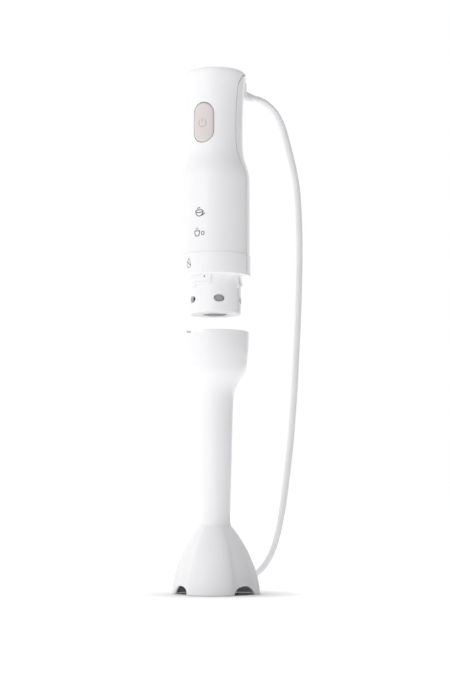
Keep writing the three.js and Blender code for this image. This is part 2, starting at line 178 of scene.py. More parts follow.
def inset(outline, distance):
    """An anticlockwise outline moved inwards."""
    count = len(outline)
    moved = []
    for i in range(count):
        a, b, c = (Vector(outline[(i + k) % count]) for k in (-1, 0, 1))
        first, second = (b - a).normalized(), (c - b).normalized()
        bisector = Vector((-first.y - second.y, first.x + second.x))
        if bisector.length < 1e-9:
            bisector = Vector((-first.y, first.x)) * 2
        moved.append(tuple(b + bisector * 2 * distance / bisector.length_squared))
    return moved


def prism(name, outline, low, high, edge=0.0, steps=4):
    """An anticlockwise outline in XY, raised from low to high, its rims rounded by edge."""
    layers = []
    if edge:
        for i in range(steps):
            angle = math.pi / 2 * i / steps
            layers.append((edge * (1 - math.sin(angle)), low + edge * (1 - math.cos(angle))))
    layers.append((0, low + edge))
    layers.append((0, high - edge))
    if edge:
        for i in range(1, steps + 1):
            angle = math.pi / 2 * i / steps
            layers.append((edge * (1 - math.cos(angle)), high - edge + edge * math.sin(angle)))
    count = len(outline)
    points = []
    for distance, z in layers:
        points += [(x, y, z) for x, y in (inset(outline, distance) if distance else outline)]
    faces = [tuple(reversed(range(count)))]
    for layer in range(len(layers) - 1):
        a, b = layer * count, (layer + 1) * count
        faces += [(a + i, a + (i + 1) % count, b + (i + 1) % count, b + i) for i in range(count)]
    faces.append(tuple(range((len(layers) - 1) * count, len(layers) * count)))
    return mesh_object(name, points, faces)


def stadium(half_width, half_height, steps=16):
    straight = half_height - half_width
    arc = [math.pi * i / steps for i in range(steps + 1)]
    top = [(half_width * math.cos(a), straight + half_width * math.sin(a)) for a in arc]
    return top + [(-x, -y) for x, y in top]


def place(piece, matrix):
    piece.data.transform(matrix)
    return piece


# X stays, the outline's Y becomes Z and its height runs towards -Y.
FACING = Matrix(((1, 0, 0, 0), (0, 0, -1, 0), (0, 1, 0, 0), (0, 0, 0, 1)))


def wrapped(piece, radius, turn=0.0, spacing=0.7):
    """Bends a flat plate round the axis: X runs along the arc, Y up and Z outwards from the radius."""
    mesh = bmesh.new()
    mesh.from_mesh(piece.data)
    xs = [v.co.x for v in mesh.verts]
    at = math.floor(min(xs) / spacing) * spacing + spacing
    while at < max(xs):
        parts = mesh.verts[:] + mesh.edges[:] + mesh.faces[:]
        bmesh.ops.bisect_plane(mesh, geom=parts, dist=1e-5, plane_co=(at, 0, 0), plane_no=(1, 0, 0))
        at += spacing
    for vertex in mesh.verts:
        x, y, z = vertex.co
        vertex.co = (*polar(radius + z, turn + math.degrees(x / radius)), y)
    mesh.to_mesh(piece.data)
    mesh.free()
    return piece


def combine(piece, operation, *tools):
    """Joins, cuts or intersects piece with each tool in turn, and removes the tools."""
    for tool in tools:
        modifier = piece.modifiers.new("combine", "BOOLEAN")
        modifier.operation = operation
        modifier.solver = "MANIFOLD"
        modifier.object = tool
        graph = bpy.context.evaluated_depsgraph_get()
        result = bpy.data.meshes.new_from_object(piece.evaluated_get(graph))
        piece.modifiers.remove(modifier)
        piece.data = result
        bpy.data.objects.remove(tool)
    return piece


def copy_of(piece, name):
    twin = bpy.data.objects.new(name, piece.data.copy())
    scene.collection.objects.link(twin)
    return twin


def with_outward_normals(piece):
    mesh = bmesh.new()
    mesh.from_mesh(piece.data)
    bmesh.ops.recalc_face_normals(mesh, faces=mesh.faces)
    mesh.to_mesh(piece.data)
    mesh.free()
    return piece


def tube(name, path, radius, sides=20):
    """A round tube with domed ends that follows a path."""
    path = [Vector(p) for p in path]
    tangents = []
    for i in range(len(path)):
        tangents.append((path[min(i + 1, len(path) - 1)] - path[max(i - 1, 0)]).normalized())
    across = tangents[0].orthogonal().normalized()
    rings = []
    for i, (centre, tangent) in enumerate(zip(path, tangents)):
        if i:
            across = tangents[i - 1].rotation_difference(tangent) @ across
        across = (across - tangent * across.dot(tangent)).normalized()
        rings.append((centre, tangent, across, 1.0))
    first, last = rings[0], rings[-1]
    for scale, reach in ((0.92, 0.0), (0.75, 0.1)):
        rings.insert(0, (first[0] - first[1] * radius * reach, first[1], first[2], scale))
        rings.append((last[0] + last[1] * radius * reach, last[1], last[2], scale))
    points = []
    for centre, tangent, side, scale in rings:
        other = tangent.cross(side)
        for k in range(sides):
            a = 2 * math.pi * k / sides
            points.append(centre + (side * math.cos(a) + other * math.sin(a)) * radius * scale)
    faces = [tuple(reversed(range(sides)))]
    for ring in range(len(rings) - 1):
        a, b = ring * sides, (ring + 1) * sides
        faces += [(a + i, a + (i + 1) % sides, b + (i + 1) % sides, b + i) for i in range(sides)]
    faces.append(tuple(range((len(rings) - 1) * sides, len(rings) * sides)))
    return mesh_object(name, points, faces)


# ---------------------------------------------------------------- materials

def node(tree, kind, **values):
    made = tree.nodes.new(kind)
    for key, value in values.items():
        if key[0].isupper():
            made.inputs[key.replace("_", " ")].default_value = value
        else:
            setattr(made, key, value)
    return made


def noise(tree, scale, detail=3.0, stretch=None):
    coordinates = node(tree, "ShaderNodeTexCoord")
    texture = node(tree, "ShaderNodeTexNoise", Scale=scale, Detail=detail)
    source = coordinates.outputs["Object"]
    if stretch:
        mapping = node(tree, "ShaderNodeMapping", Scale=stretch)
        tree.links.new(source, mapping.inputs["Vector"])
        source = mapping.outputs["Vector"]
    tree.links.new(source, texture.inputs["Vector"])
    return texture.outputs["Fac"]


def ranged(tree, source, low, high, start=0.3, end=0.7):
    made = node(tree, "ShaderNodeMapRange", From_Min=start, From_Max=end, To_Min=low, To_Max=high)
    tree.links.new(source, made.inputs["Value"])
    return made.outputs["Result"]


def blended(tree, source, first, second, start=0.35, end=0.65):
    ramp = node(tree, "ShaderNodeValToRGB")
    ramp.color_ramp.elements[0].position = start
    ramp.color_ramp.elements[1].position = end
    ramp.color_ramp.elements[0].color = (*first, 1)
    ramp.color_ramp.elements[1].color = (*second, 1)
    tree.links.new(source, ramp.inputs["Fac"])
    return ramp.outputs["Color"]


def bump(tree, source, shader, depth, strength=1.0):
    made = node(tree, "ShaderNodeBump", Strength=strength, Distance=depth)
    tree.links.new(source, made.inputs["Height"])
    tree.links.new(made.outputs["Normal"], shader.inputs["Normal"])


def surface(name, **values):
    material = bpy.data.materials.new(name)
    material.use_nodes = True
    shader = material.node_tree.nodes["Principled BSDF"]
    for key, value in values.items():
        shader.inputs[key.replace("_", " ")].default_value = value
    return material, material.node_tree, shader


def shade(colour, factor):
    return tuple(min(1.0, c * factor) for c in colour)


def moulded(name, colour, roughness, grain, depth, vary, **values):
    """Moulded plastic or rubber: slow tone drift, uneven gloss and a fine skin texture."""
    material, tree, shader = surface(name, **values)
    slow = noise(tree, 30.0, 4.0)
    fine = noise(tree, grain, 2.0)
    smear = noise(tree, 210.0, 5.0, (1, 1, 0.25))
    link = tree.links.new
    link(blended(tree, slow, shade(colour, 1 - vary), colour), shader.inputs["Base Color"])
    link(ranged(tree, smear, roughness * 0.86, roughness * 1.14), shader.inputs["Roughness"])
    bump(tree, fine, shader, depth)
    return material


def metal(name, colour, roughness, stretch, depth, vary=0.12):
    """Turned, drawn or ground metal: fine parallel marks along the long side of stretch."""
    material, tree, shader = surface(name, Metallic=1.0)
    marks = noise(tree, 1.0, 3.0, stretch)
    slow = noise(tree, 60.0, 4.0)
    link = tree.links.new
    link(blended(tree, slow, shade(colour, 1 - vary), colour), shader.inputs["Base Color"])
    link(ranged(tree, marks, roughness * 0.7, roughness * 1.3), shader.inputs["Roughness"])
    bump(tree, marks, shader, depth)
    return material


def wound(name, colour, pitch):
    """Enamelled wire, wound in close turns, with painted shade in the grooves between them."""
    material, tree, shader = surface(name, Metallic=0.85, Roughness=0.32, Coat_Weight=0.5)
    coordinates = node(tree, "ShaderNodeTexCoord")
    turns = node(tree, "ShaderNodeTexWave", Scale=pitch, Distortion=1.2, Detail=1.0, bands_direction="Z")
    tree.links.new(coordinates.outputs["Object"], turns.inputs["Vector"])
    # The low bands, the grooves between the turns, are painted darker as shade.
    colours = blended(tree, turns.outputs["Fac"], shade(colour, 0.4), colour, 0.1, 0.6)
    tree.links.new(colours, shader.inputs["Base Color"])
    bump(tree, turns.outputs["Fac"], shader, 0.00015, 0.8)
    return material


def laminate(name, colour):
    """Circuit board: solder mask over a raised maze of tracks."""
    material, tree, shader = surface(name, Roughness=0.35, Coat_Weight=0.3)
    coordinates = node(tree, "ShaderNodeTexCoord")
    tracks = node(tree, "ShaderNodeTexVoronoi", Scale=260.0, distance="MANHATTAN", feature="F1")
    tree.links.new(coordinates.outputs["Object"], tracks.inputs["Vector"])
    colours = blended(tree, tracks.outputs["Distance"], shade(colour, 1.6), colour, 0.28, 0.34)
    tree.links.new(colours, shader.inputs["Base Color"])
    bump(tree, tracks.outputs["Distance"], shader, 0.00004, 0.6)
    return material


SLOTS = {entry["slot"]: tuple(entry["base_color"]) for entry in frame["record"]["materials"]}

finishes = {
    "white_plastic": moulded("white_plastic", (0.88, 0.878, 0.89), 0.24, 2600.0, 0.000004, 0.012,
                             Coat_Weight=0.1, Coat_Roughness=0.12, IOR=1.46),
    "button_rubber": moulded("button_rubber", (0.7, 0.645, 0.625), 0.5, 5200.0, 0.00002, 0.05,
                             Sheen_Weight=0.25, Sheen_Roughness=0.5),
    "cord_plastic": moulded("cord_plastic", SLOTS["cord_plastic"], 0.42, 2200.0, 0.000012, 0.05),
    "dark_plastic": moulded("dark_plastic", SLOTS["dark_plastic"], 0.45, 3000.0, 0.00003, 0.2),
    "black_rubber": moulded("black_rubber", SLOTS["black_rubber"], 0.75, 2500.0, 0.00005, 0.25),
    "steel": metal("steel", SLOTS["steel"], 0.24, (300, 300, 5200), 0.000004),
    "blade_steel": metal("blade_steel", SLOTS["blade_steel"], 0.2, (350, 4200, 4200), 0.000004),
    "brass": metal("brass", SLOTS["brass"], 0.3, (400, 400, 3600), 0.000006),
    "copper": wound("copper", SLOTS["copper"], 420.0),
    "bronze": metal("bronze", SLOTS["bronze"], 0.5, (2600, 2600, 2600), 0.00003, 0.3),
    "ferrite": moulded("ferrite", SLOTS["ferrite"], 0.65, 2400.0, 0.00005, 0.3),
    "board": laminate("board", SLOTS["board"]),
    "component": moulded("component", SLOTS["component"], 0.4, 2400.0, 0.00002, 0.1),
    "lead_brown": moulded("lead_brown", SLOTS["lead_brown"], 0.4, 2400.0, 0.00002, 0.1),
    "lead_blue": moulded("lead_blue", SLOTS["lead_blue"], 0.4, 2400.0, 0.00002, 0.1),
}
print_ink = moulded("print_ink", (0.05, 0.05, 0.055), 0.4, 2400.0, 0.00001, 0.1)
# Dark grey, used for painted shade on the walls of the parting gap and the button's slot, and for the
# printed lock dot.
painted_shade_and_print_grey = moulded("painted_shade_and_print_grey", (0.16, 0.16, 0.17), 0.6, 2400.0, 0.00001, 0.1)
liner_plastic = moulded("liner_plastic", (0.76, 0.755, 0.765), 0.5, 2400.0, 0.00002, 0.08)
mark_rubber = moulded("mark_rubber", (0.5, 0.44, 0.425), 0.5, 5200.0, 0.00002, 0.05)
relief_plastic = moulded("relief_plastic", (0.8, 0.8, 0.81), 0.5, 2400.0, 0.00002, 0.08)


def finished(piece, slot, body, replaces=(), materials=(), crease=32):
    """Scales a shape to metres, shades it and ties it to the frame."""
    mesh = piece.data
    mesh.transform(Matrix.Scale(MM, 4))
    mesh.shade_smooth()
    mesh.set_sharp_from_angle(angle=math.radians(crease))
    mesh.materials.clear()
    for material in materials or [finishes[slot]]:
        mesh.materials.append(material)
    if body:
        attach(piece, body)
    if replaces:
        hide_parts(*replaces)
    return piece


for entry in frame["record"]["subparts"]:
    carried = frame["nodes"][entry["node"]]
    carried.data.materials.clear()
    carried.data.materials.append(finishes[entry["material_slot"]])


# ---------------------------------------------------------------- cord

# The free stretch, as in the CAD: a bow behind the handle, down, and inwards to the coil.
CORD_ROUTE = [
    (0, 68.33, 423.36), (0.8, 76, 424), (3, 85, 423.2), (6, 93, 419.5),
    (9, 99, 413.5), (12, 104, 403.6), (14.2, 107.2, 392), (16.2, 110.6, 379.4),
    (18, 113.8, 366.5), (19.8, 117, 348), (20.8, 118.6, 320), (20.5, 119.6, 285),
    (19.1, 120, 245), (16.9, 120.1, 205), (14.6, 120.1, 168), (11.4, 119.8, 130),
    (7, 119.1, 92), (1.8, 118.2, 58), (-4.1, 116.9, 35), (-11.4, 114.9, 20.4),
    (-20.2, 112.4, 11.2), (-28.8, 109.5, 5.6), (-37.1, 105.9, 3.1), (-44.2, 102.2, 2.9),
]
COIL_AXES = (Vector((0.887, 0.4617)), Vector((-0.4617, 0.887)))
COIL_STEP = 5
COIL_FLOOR = (90, 810)
COIL_END = 1478


def coil_route():
    """Two turns inwards on the table, then two outwards that rest on them."""
    degrees = np.arange(COIL_FLOOR[0], COIL_END + 1, COIL_STEP, float)
    knots = (COIL_FLOOR[0], COIL_FLOOR[1], 1100, 1250, COIL_END)
    radius = np.interp(degrees, knots, (34, 22.75, 24.8, 30.7, 31.2))
    wide = np.convolve(np.pad(radius, 6, mode="edge"), np.ones(13) / 13, mode="valid")
    ease = np.clip((degrees - 700) / 60, 0, 1) * np.clip((COIL_END - 60 - degrees) / 60, 0, 1)
    radius = radius * (1 - ease) + wide * ease
    angle = np.radians(degrees)
    u, v = radius * np.cos(angle), radius * np.sin(angle)
    lower = degrees <= COIL_FLOOR[1]
    reach = 2 * CORD_R + 0.08
    height = np.full(len(degrees), CORD_R + 0.1)
    for i in np.flatnonzero(~lower):
        below = lower & (degrees < degrees[i] - 100)
        apart = np.hypot(u[below] - u[i], v[below] - v[i])
        height[i] += math.sqrt(max(0, reach**2 - apart.min() ** 2))
    spread = 5
    padded = np.pad(height, 2 * spread, mode="edge")
    highest = [padded[i:i + 2 * spread + 1].max() for i in range(len(padded) - 2 * spread)]
    height = np.convolve(highest, np.ones(2 * spread + 1) / (2 * spread + 1), mode="valid")
    flat = [COIL_AXES[0] * a + COIL_AXES[1] * b + Vector(COIL_CENTRE) for a, b in zip(u, v)]
    return [(p.x, p.y, z) for p, z in zip(flat, height)]


def tail_route(start):
    """From the coil's top turn over the incoming cord and down into the plug's boot."""
    heading = Vector((math.cos(math.radians(PLUG_HEADING)), math.sin(math.radians(PLUG_HEADING))))
    flat_end = PLUG_START.xy
    heights = [(9, 8.55), (18.8, 8.62), (21.8, 8.42), (24.8, 7.8), (28.2, 7.12)]
    length = (flat_end - Vector(start[:2])).length
    return [(*(flat_end + heading * (along - length)), z) for along, z in heights]


def coil_tie(route):
    """A soft band drawn round all the turns of the coil at one place."""
    turn = math.radians(205)
    outwards = COIL_AXES[0] * math.cos(turn) + COIL_AXES[1] * math.sin(turn)
    sideways = Vector((-outwards.y, outwards.x))
    centre = Vector(COIL_CENTRE)
    crossings = []
    for a, b in zip(route, route[1:]):
        first, second = Vector(a[:2]) - centre, Vector(b[:2]) - centre
        if first.dot(outwards) > 0 and first.dot(sideways) * second.dot(sideways) <= 0:
            crossings.append(Vector((first.dot(outwards), a[2])))
    points = []
    count = 72
    for i in range(count):
        angle = 2 * math.pi * i / count
        way = Vector((math.cos(angle), math.sin(angle)))
        turn_centre = max(crossings, key=lambda c: c.dot(way))
        for gap, floor in ((0.08, 0.07), (0.85, 0.02)):
            at = turn_centre + way * (CORD_R + gap)
            for half in (-3.5, 3.5):
                flat = centre + outwards * at.x + sideways * half
                points.append((flat.x, flat.y, max(at.y, floor)))
    faces = []
    for i in range(count):
        a, b = 4 * i, 4 * ((i + 1) % count)
        for p, q in ((0, 1), (1, 3), (3, 2), (2, 0)):
            faces.append((a + p, b + p, b + q, a + q))
    return with_outward_normals(mesh_object("cord_tie", points, faces))


def plug_frame():
    turn = Matrix.Rotation(math.radians(PLUG_HEADING), 4, "Z")
    return Matrix.Translation(PLUG_START) @ turn


def along_x(piece):
    """Turns a lathe about Z into one about +X, in the plug's place."""
    return place(piece, plug_frame() @ Matrix.Rotation(math.radians(90), 4, "Y"))


def plug_pieces():
    half = [(10, 7, 1), (14, 9, 3), (29, 17.4, 4), (35.9, 17.5, 2.2)]
    outline = filleted([(x, -y, r) for x, y, r in half] + [(x, y, r) for x, y, r in reversed(half)])
    body = prism("plug_body_fine", outline, -6.8, 6.8, 2.0)
    for x in (14.5, 17.5, 20.5, 23.5):
        groove_shape = [(x - 0.7, -7), (x + 0.7, -7), (x + 0.7, 7), (x - 0.7, 7)]
        for turn in (math.pi, 0):
            groove = place(prism("groove", groove_shape, 6.2, 8), Matrix.Rotation(turn, 4, "X"))
            combine(body, "DIFFERENCE", groove)
    place(body, plug_frame())
    finished(body, "cord_plastic", "cord", ["plug_body"])
    ribs = filleted([
        (3.4, 0, 0.5), (3.6, 1.6, 0.2), (3.0, 1.8, 0.2), (3.1, 2.8, 0.2), (4.0, 3.0, 0.2),
        (4.2, 4.6, 0.2), (3.5, 4.8, 0.2), (3.6, 5.8, 0.2), (4.5, 6.0, 0.2), (4.7, 7.6, 0.2),
        (4.1, 7.8, 0.2), (4.2, 8.6, 0.2), (5.0, 8.8, 0.2), (5.0, 9.7),
    ], closed=False, steps=3)
    boot = along_x(lathe("plug_boot_fine", [(0, 0), *ribs, (0, 9.7)], 48))
    finished(boot, "cord_plastic", "cord", ["plug_boot"])
    pins = []
    for side, y in (("left", 9.3), ("right", -9.3)):
        sleeve_end = 10
        wall = filleted([(2, 0), (2, sleeve_end, 0.15), (1.9, sleeve_end, 0.1), (1.9, 19, 1.7), (0, 19)],
                        closed=False, steps=6)
        pin = lathe("plug_pin_%s_fine" % side, [(0, 0), *wall], 40)
        for face in pin.data.polygons:
            face.material_index = int(face.center.z > sleeve_end + 0.01)
        place(pin, Matrix.Translation((0, 0, 36.3)))
        pin = place(pin, Matrix.Rotation(math.radians(90), 4, "Y"))
        place(pin, plug_frame() @ Matrix.Translation((0, y, 0)))
        pins.append(finished(pin, "steel", "cord", ["plug_pin_" + side],
                             [finishes["cord_plastic"], finishes["steel"]]))
    return [body, boot, *pins]


def build_cord():
    coil = coil_route()
    free = through([*CORD_ROUTE, coil[0]], 5)
    tail = through([coil[-2], coil[-1], *tail_route(coil[-1])], 4)[4:]
    route = free[:-1] + coil + tail[1:]
    cord = tube("mains_cord", route, CORD_R)
    finished(cord, "cord_plastic", None, ["cord_tube", "cord_coil", "cord_tail"], crease=80)
    tie = finished(coil_tie(coil), "black_rubber", "cord")
    ends = plug_pieces()
    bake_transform(cord)


build_cord()


def strain_relief():
    """A tapered sleeve with bending slots, in its grommet."""
    inside = [(5.2, -5.4, 0.3), (5.2, -2.8, 0.2), (4, -2.8), (4, 1), (5, 1.1, 0.3), (4.95, 3.4, 0.3)]
    ribs = []
    at, pitch, slot = 3.4, 2.4, 0.8
    while at < RELIEF_LENGTH - 4:
        outer = 4.95 - (at - 3.4) * 0.055
        ribs += [(outer - 0.75, at, 0.1), (outer - 0.8, at + slot, 0.1), (outer - 0.07, at + slot, 0.15),
                 (outer - 0.18, at + pitch, 0.15)]
        at += pitch
    tip = [(3.2, at, 0.1), (3.1, RELIEF_LENGTH, 0.3), (2.5, RELIEF_LENGTH)]
    profile = [(0, -5.4)] + filleted(inside + ribs + tip, closed=False, steps=3) + [(0, RELIEF_LENGTH)]
    relief = lathe("strain_relief_fine", profile, 48)
    tilt = Matrix.Rotation(math.radians(-90 + RELIEF_RISE), 4, "X")
    place(relief, Matrix.Translation(CORD_EXIT) @ tilt)
    finished(relief, "cord_plastic", "motor_unit", ["strain_relief"], [relief_plastic])


strain_relief()


# ---------------------------------------------------------------- motor unit

PARTING = [
    (0, 200, 1, 0), (0, 338, 1, 0), (-5, 364, 1, 0), (-5, 411, 1, 0), (-3.2, 419, 0.9, -0.4),
    (1.5, 424.4, 0.6, -0.8), (8, 426.2, 0, -1), (60, 426.2, 0, -1),
]
SEAM = 0.45  # half the parting line's width
SIDEWAYS = Matrix(((0, 0, 1, 0), (1, 0, 0, 0), (0, 1, 0, 0), (0, 0, 0, 1)))


def parting_line(offset):
    line = [(y + a * offset, z + b * offset) for y, z, a, b in PARTING]
    return line[:1] + through(line[1:-1], 6) + line[-1:]


def housing():
    """The whole shell of the motor unit before it is split."""
    flank = through([(BODY_R, 336), (28.05, 340), (27.4, 344), (26.2, 348.4), (24.8, 352.8), (23.5, 357.6),
                     (22.75, 363), (22.45, 371), (22.4, 380), (22.6, 395), (23.55, 410), (24.95, 423)], 5)
    crown = filleted([(25.1, 424.2), (25.1, 428.4, 2.6), (16, 429.1, 3), (0, 429.2)], closed=False)
    outer = filleted([(9.75, STUB_Z, 0.5), (STUB_R, STUB_Z, 1.0), (STUB_R, RING_Z, 0.3),
                      (RING_R, RING_Z, 0.8), (RING_R, 274.8, 0.5), (BODY_R, 275.3, 0.4), (BODY_R, 336)],
                     closed=False)
    outer[0:1] = [(9.75, STUB_Z + 0.4), (9.87, STUB_Z + 0.12), (10.15, STUB_Z)]
    inner = [(0, 426), (22.5, 426), (22.5, 424), (20.2, 395), (20, 372), (21, 358), (24, 348),
             (25.8, 338), (25.8, 262), (18.4, 259.6), (18.4, 229), (9.75, 229)]
    whole = lathe("whole", outer[:-1] + flank + crown + inner, 160)
    arch = filleted([(13.4, 411.2, 3.4), (13.4, 427.3, 2.0), (-13.4, 427.3, 2.0), (-13.4, 411.2, 3.4)])
    boss = place(prism("boss", arch, -31.9, -8, 1.6), FACING)
    hollow_shape = [(11.1, 413.4), (11.1, 426), (-11.1, 426), (-11.1, 413.4)]
    hollow = place(prism("hollow", hollow_shape, -29.6, -6), FACING)
    core_wall = [(r - 0.02, z) for r, z in inner[2:8]]
    core = lathe("core", [(0, 425.9), *core_wall, (25.78, 330), (0, 330)], 160)
    combine(whole, "UNION", combine(boss, "DIFFERENCE", core))
    lower_edge = [(-12.8, 247.8, 0.8), (-8.4, 247.8, 1.0), (-7.2, 249.8, 1.0), (6.6, 249.8, 3.2)]
    plate = filleted([*lower_edge, (6.6, 258.2), (-12.8, 258.2)])
    rib = filleted([*lower_edge, (6.6, 254.6, 0.6), (5.3, 254.6, 0.6), (5.3, 251.5, 2.0),
                    (-12.8, 251.5, 0.5)])
    for turn in LUG_TURNS:
        lug = wrapped(prism("lug", plate, -1.2, 1.0, 0.3, 2), STUB_R, turn)
        lip = wrapped(prism("lip", rib, -1.1, 1.65, 0.35, 2), STUB_R, turn)
        combine(whole, "UNION", lug, lip)
    slot = place(prism("slot", stadium(9.45, 16.95, 20), 10, 40), FACING)
    place(slot, Matrix.Translation((0, 0, BUTTON_Z)))
    exit_hole = lathe("exit", [(0, -6), (4.4, -6), (4.4, 6), (0, 6)], 64)
    to_boss = Matrix.Translation((0, 31, CORD_EXIT[2]))
    place(exit_hole, to_boss @ Matrix.Rotation(math.radians(90), 4, "X"))
    combine(whole, "DIFFERENCE", hollow, slot, exit_hole)
    vent_angles = np.linspace(0, 2 * math.pi, 40, False)
    vent_shape = [(4.45 * math.cos(a), 3.05 * math.sin(a)) for a in vent_angles]
    to_vents = Matrix.Translation((0, 0, STUB_Z + 11.6))
    for turn in VENT_TURNS:
        vent = place(prism("vent", vent_shape, 15, 25), FACING)
        place(vent, Matrix.Rotation(math.radians(turn), 4, "Z") @ to_vents)
        combine(whole, "DIFFERENCE", vent)
    return whole


def shadow_seam(piece):
    """The walls of the parting gap and of the button's slot take the second material, a dark grey that
    paints shade into both gaps.
    """
    line = [Vector(p) for p in parting_line(0)]
    for face in piece.data.polygons:
        at = Vector(face.center[1:])
        by_slot = at.x < -15 and abs(at.y - BUTTON_Z) < 17.2 and abs(face.center.x) < 9.6
        if by_slot and abs(face.normal.y) < 0.2:
            face.material_index = 1
        if abs(face.normal.x) > 0.3 or at.y < STUB_Z:
            continue
        gaps = []
        for a, b in zip(line, line[1:]):
            along = max(0, min(1, (at - a).dot(b - a) / (b - a).length_squared))
            gaps.append((at - a - (b - a) * along).length)
        if abs(min(gaps) - SEAM) < 0.03:
            face.material_index = 1


def build_shells():
    whole = housing()
    front_side = parting_line(-SEAM) + [(60, 440), (-60, 440), (-60, 200)]
    rear_side = parting_line(SEAM)[::-1] + [(60, 200)]
    rear = copy_of(whole, "rear_shell_fine")
    whole.name = "front_shell_fine"
    combine(whole, "INTERSECT", place(prism("front", front_side, -60, 60), SIDEWAYS))
    combine(rear, "INTERSECT", place(prism("rear", rear_side[::-1], -60, 60), SIDEWAYS))
    for piece, shell in ((whole, "front_shell"), (rear, "rear_shell")):
        # The walls of the parting gap and of the button's slot are painted dark grey as shade.
        shadow_seam(piece)
        finished(piece, "white_plastic", "motor_unit", [shell], [finishes["white_plastic"], painted_shade_and_print_grey])


build_shells()


def stub_liner():
    """The inner sleeve: a bush in the stub's mouth, and a wall that shows behind the vents."""
    profile = filleted([
        (9.15, STUB_Z + 0.3, 0.2), (9.72, STUB_Z + 0.3, 0.2), (9.72, 229.15), (15.7, 229.15),
        (15.7, 245.4, 0.2), (15.0, 245.4, 0.2), (15.0, 229.9), (9.15, 229.9),
    ])
    liner = lathe("stub_liner", profile, 96)
    finished(liner, "dark_plastic", "motor_unit", materials=[liner_plastic])


stub_liner()


def stroke(points, width, closed=False):
    """A flat line of even width on the XY plane, as top, sides and bottom of a thin plate."""
    points = [Vector(p) for p in points]
    count = len(points)
    low, high = -0.03, 0.035
    places = []
    for i, here in enumerate(points):
        before = points[i - 1] if closed or i else here
        after = points[(i + 1) % count] if closed or i < count - 1 else here
        way = (after - before).normalized()
        across = Vector((-way.y, way.x)) * width / 2
        for z in (low, high):
            places += [(*(here - across), z), (*(here + across), z)]
    faces = []
    for i in range(count if closed else count - 1):
        a, b = 4 * i, 4 * ((i + 1) % count)
        faces += [(a + 2, b + 2, b + 3, a + 3), (a, a + 1, b + 1, b)]
        faces += [(a, b, b + 2, a + 2), (a + 1, a + 3, b + 3, b + 1)]
    if not closed:
        end = 4 * (count - 1)
        faces += [(0, 2, 3, 1), (end, end + 1, end + 3, end + 2)]
    return places, faces


def printed(name, strokes, radius, turn, height, body="motor_unit", material=None, slot="dark_plastic"):
    """Line work on the housing's skin, wrapped round it."""
    points, faces = [], []
    for line, width, closed in strokes:
        places, quads = stroke(line, width, closed)
        faces += [tuple(k + len(points) for k in quad) for quad in quads]
        points += places
    mark = mesh_object(name, points, faces)
    for vertex in mark.data.vertices:
        x, y, z = vertex.co
        vertex.co = (*polar(radius + z, turn + math.degrees(x / radius)), y + height)
    return finished(mark, slot, body, materials=[material or print_ink])


def arc(cx, cy, rx, ry, start, end, steps=24):
    angles = [math.radians(start + (end - start) * i / steps) for i in range(steps + 1)]
    return [(cx + rx * math.cos(a), cy + ry * math.sin(a)) for a in angles]


def build_prints():
    line = 0.72
    bowl = [
        (arc(0, 1.2, 3.4, 1.1, 0, 360, 36)[:-1], line, True),
        (arc(0, 1.2, 3.4, 4.0, 180, 360), line, False),
        ([(1.6, -2.4), (2.8, -2.0), (4.0, -1.2), (4.9, -0.4)], 0.75, False),
        (arc(-0.3, 3.2, 1.2, 0.9, 20, 200, 10), line, False),
    ]
    printed("print_bowl", bowl, BODY_R, 0, 307)
    beaker = [
        (through([(-4.3, 1.6), (-4.1, -0.8), (-3.4, -2.3), (-1.9, -2.5), (-0.6, -2.2), (0.1, -0.8),
                  (0.3, 1.6)], 4), line, False),
        ([(-4.5, 1.6), (-2, 1.7), (0.5, 1.6)], line, False),
        (through([(-2.9, 2.6), (-3.2, 3.2), (-2.7, 3.8), (-3.0, 4.4)], 4), 0.4, False),
        (through([(-1.4, 2.6), (-1.7, 3.2), (-1.2, 3.8), (-1.5, 4.4)], 4), 0.4, False),
        (arc(3.1, -0.4, 1.2, 1.5, 0, 360, 24)[:-1], 0.6, True),
    ]
    printed("print_beaker", beaker, BODY_R, 0, 290.5)
    drop = [
        (through([(0, 4.0), (-1.2, 1.9), (-2.1, -0.4), (-1.9, -2.6), (0, -3.8), (1.9, -2.6), (2.1, -0.4),
                  (1.2, 1.9), (0.15, 3.8)], 5), 0.45, False),
        (through([(-1.9, 0.6), (-0.4, 0.2), (0.9, -1.0), (1.9, -2.0)], 4), 0.6, False),
    ]
    printed("print_drop", drop, RING_R, -21, 266.6)
    tick = [([(0, -1.6), (0, 0), (0, 1.6)], 0.35, False)]
    printed("print_tick", tick, RING_R, 7.5, 261.2, material=liner_plastic)
    dot = [(arc(0, 0, 0.4, 0.5, 0, 360, 16)[:-1], 0.6, True)]
    printed("print_lock_dot", dot, STUB_R + 1.0, 3.5, 255.7, material=painted_shade_and_print_grey)


build_prints()


